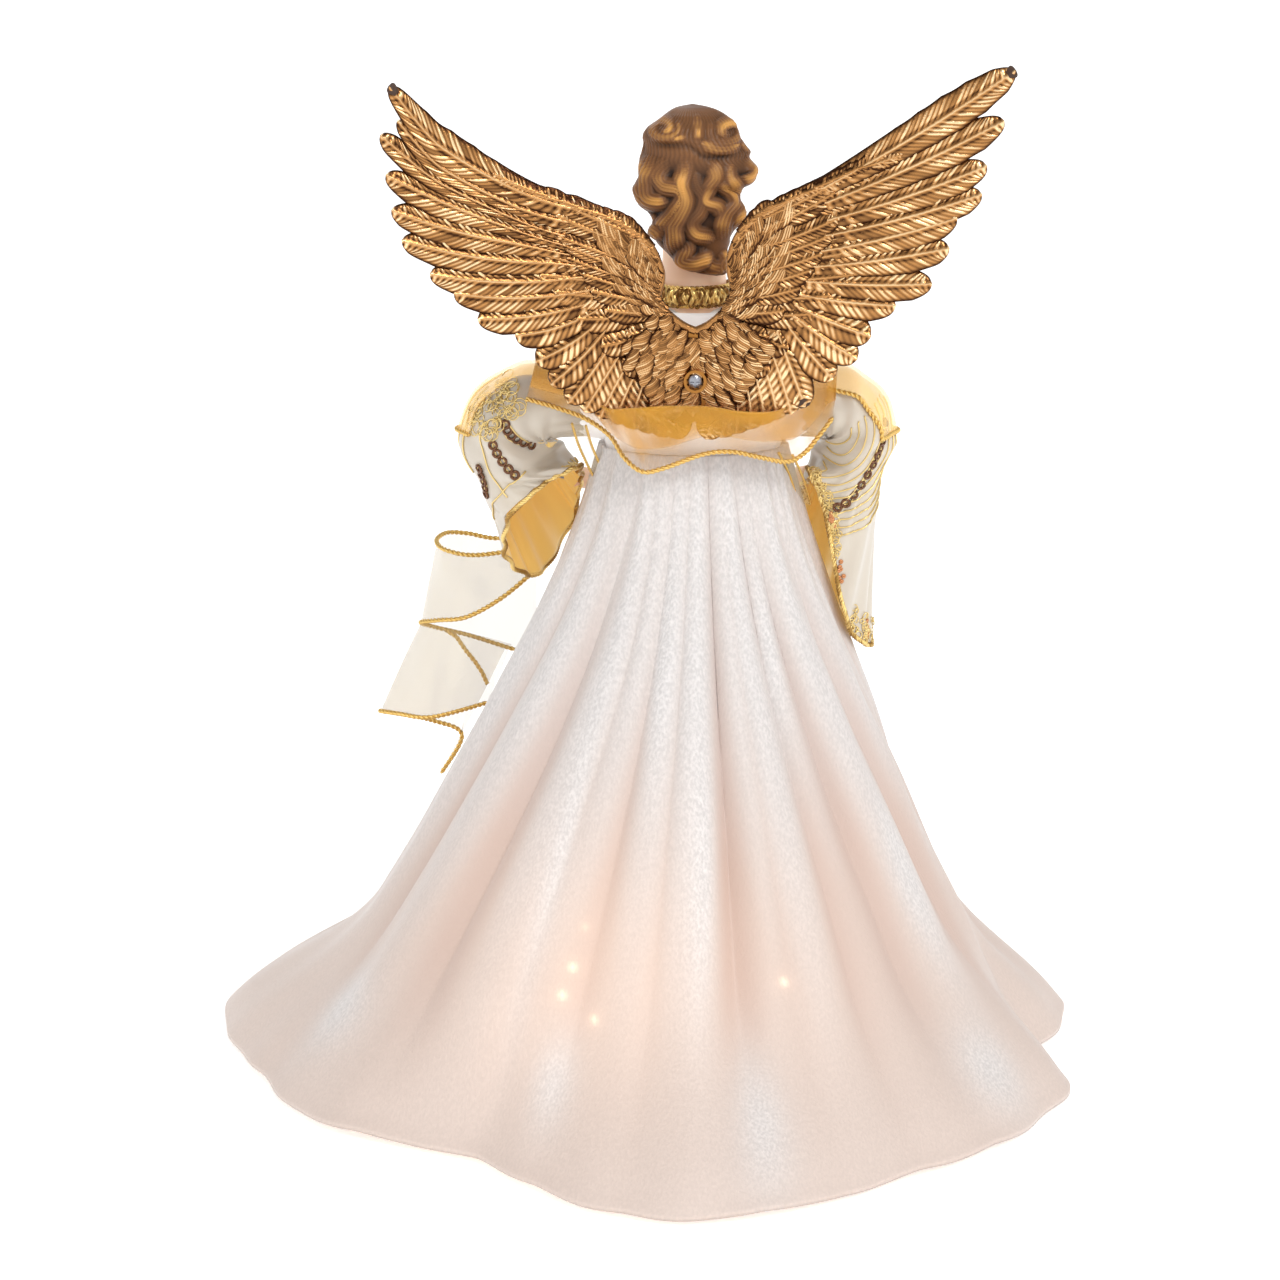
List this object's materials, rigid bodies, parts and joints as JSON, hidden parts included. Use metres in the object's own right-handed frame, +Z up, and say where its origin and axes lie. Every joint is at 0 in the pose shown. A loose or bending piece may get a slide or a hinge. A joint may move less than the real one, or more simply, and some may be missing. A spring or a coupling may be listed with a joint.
{
  "type": "angel tree topper",
  "caption": "Lit angel tree topper with gilded feathered wings, posable sleeved arms, a sheer gold shawl and a long crushed-velvet skirt over a hollow cone.",
  "frame": {"origin": "centre of the figure's footprint, on the surface that it stands on", "axes": "+Z up; the angel faces -Y, its left hand is towards +X, and the wings are at its back, +Y"},
  "size_m": [0.3034, 0.2944, 0.3482],
  "materials": {
    "gilt": "antique gold paint on a moulding, rubbed brown in the recesses",
    "velvet": "ivory crushed velvet",
    "satin": "white satin",
    "organza": "sheer gold organza",
    "braid": "gold metallic braid",
    "hair_paint": "brown paint with a gold dry brush",
    "skin_paint": "satin skin paint",
    "card": "plain",
    "foam": "plain white core",
    "steel": "plain",
    "lamp_glass": "clear, lit warm white",
    "socket": "dark green",
    "rubber": "plain"
  },
  "bodies": {
    "torso": {"tree_cone": "card", "cone_rim": "card", "light_wire": "socket", "lead_grommet": "rubber", "lamp_holder_01": "socket", "lamp_holder_02": "socket", "lamp_holder_03": "socket", "lamp_holder_04": "socket", "lamp_holder_05": "socket", "lamp_holder_06": "socket", "lamp_holder_07": "socket", "lamp_holder_08": "socket", "lamp_holder_09": "socket", "lamp_holder_10": "socket", "bulb_01": "lamp_glass", "bulb_02": "lamp_glass", "bulb_03": "lamp_glass", "bulb_04": "lamp_glass", "bulb_05": "lamp_glass", "bulb_06": "lamp_glass", "bulb_07": "lamp_glass", "bulb_08": "lamp_glass", "bulb_09": "lamp_glass", "bulb_10": "lamp_glass", "waist_plug": "foam", "torso_core": "foam", "bodice": "satin", "head": "skin_paint", "hair": "hair_paint", "collar_trim": "braid", "left_wing": "gilt", "right_wing": "gilt", "wing_yoke": "gilt", "wing_screw": "steel", "skirt": "velvet", "shawl_back": "organza", "waist_sash": "organza"},
    "left_arm": {"left_arm_wire": "steel", "left_arm_pad": "foam", "left_hand": "skin_paint", "left_sleeve": "satin", "left_cuff_trim": "braid", "shawl_left": "organza", "shawl_tail_left": "organza"},
    "right_arm": {"right_arm_wire": "steel", "right_arm_pad": "foam", "right_hand": "skin_paint", "right_sleeve": "satin", "right_cuff_trim": "braid", "shawl_right": "organza"}
  },
  "joints": [
    {"name": "left_shoulder", "type": "hinge", "parent": "torso", "child": "left_arm", "pos_m": [0.01811, -0.00117, 0.234], "axis": [-1, 0, 0], "range_deg": [-4, 35]},
    {"name": "right_shoulder", "type": "hinge", "parent": "torso", "child": "right_arm", "pos_m": [-0.05389, -0.00117, 0.234], "axis": [-1, 0, 0], "range_deg": [-4, 35]}
  ]
}
